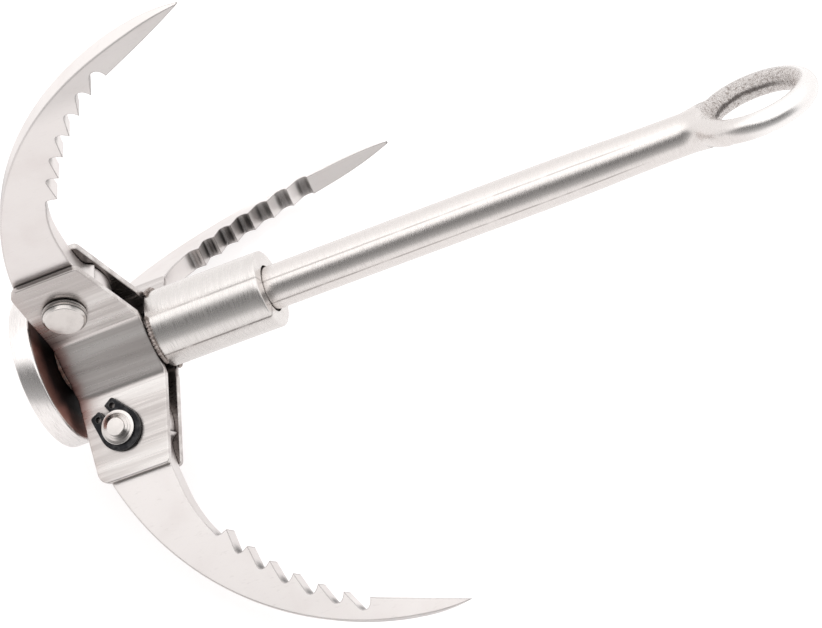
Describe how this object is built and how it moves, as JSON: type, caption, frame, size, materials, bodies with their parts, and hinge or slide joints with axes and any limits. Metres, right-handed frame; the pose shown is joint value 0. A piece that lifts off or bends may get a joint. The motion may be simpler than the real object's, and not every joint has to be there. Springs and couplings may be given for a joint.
{
  "type": "folding grapnel anchor",
  "caption": "Folding steel grapnel anchor with toothed claws on a pinned hub that slides on a centre rod with a foot disc and an eye.",
  "frame": {"origin": "centre of the foot disc's lower face, on the rod's axis", "axes": "+Z along the centre rod from the foot disc to the eye; claw 1 lies in the XZ plane towards +X, claws 2 and 3 follow at 120 and 240 degrees about +Z"},
  "size_m": [0.1562, 0.1787, 0.2243],
  "materials": {
    "rod_steel": "satin",
    "eye_steel": "satin",
    "weld_steel": "rough",
    "disc_steel": "satin, heat tinted around the rod",
    "sleeve_steel": "brushed around the axis",
    "plate_steel": "brushed along the axis",
    "claw_steel": "satin, tumbled edges",
    "pin_steel": "turned",
    "clip_black": "blackened"
  },
  "bodies": {
    "hub": {"guide_sleeve": "sleeve_steel", "side_plate_1": "plate_steel", "side_plate_2": "plate_steel", "side_plate_3": "plate_steel", "plate_weld_1": "weld_steel", "plate_weld_2": "weld_steel", "plate_weld_3": "weld_steel", "pivot_pin_1": "pin_steel", "pivot_pin_2": "pin_steel", "pivot_pin_3": "pin_steel", "circlip_1": "clip_black", "circlip_2": "clip_black", "circlip_3": "clip_black"},
    "claw_1": {"claw_1": "claw_steel"},
    "claw_2": {"claw_2": "claw_steel"},
    "claw_3": {"claw_3": "claw_steel"},
    "foot": {"foot_disc": "disc_steel", "foot_weld": "weld_steel"},
    "rod": {"centre_rod": "rod_steel", "eye_ring": "eye_steel", "eye_weld": "weld_steel"}
  },
  "joints": [
    {"name": "claw_1_fold", "type": "hinge", "parent": "hub", "child": "claw_1", "pos_m": [0.0232, 0, 0.018], "axis": [0, -1, 0], "range_deg": [-7, 53]},
    {"name": "claw_2_fold", "type": "hinge", "parent": "hub", "child": "claw_2", "pos_m": [-0.0116, 0.02009, 0.018], "axis": [0.866, 0.5, 0], "range_deg": [-10.4, 49.6]},
    {"name": "claw_3_fold", "type": "hinge", "parent": "hub", "child": "claw_3", "pos_m": [-0.0116, -0.02009, 0.018], "axis": [-0.866, 0.5, 0], "range_deg": [-1.8, 58.2]},
    {"name": "rod_slide", "type": "slide", "parent": "hub", "child": "foot", "axis": [0, 0, 1], "range_m": [-0.115, 0]},
    {"name": "rod_turn", "type": "hinge", "parent": "foot", "child": "rod", "pos_m": [0, 0, 0.01], "axis": [0, 0, 1], "continuous": true}
  ]
}
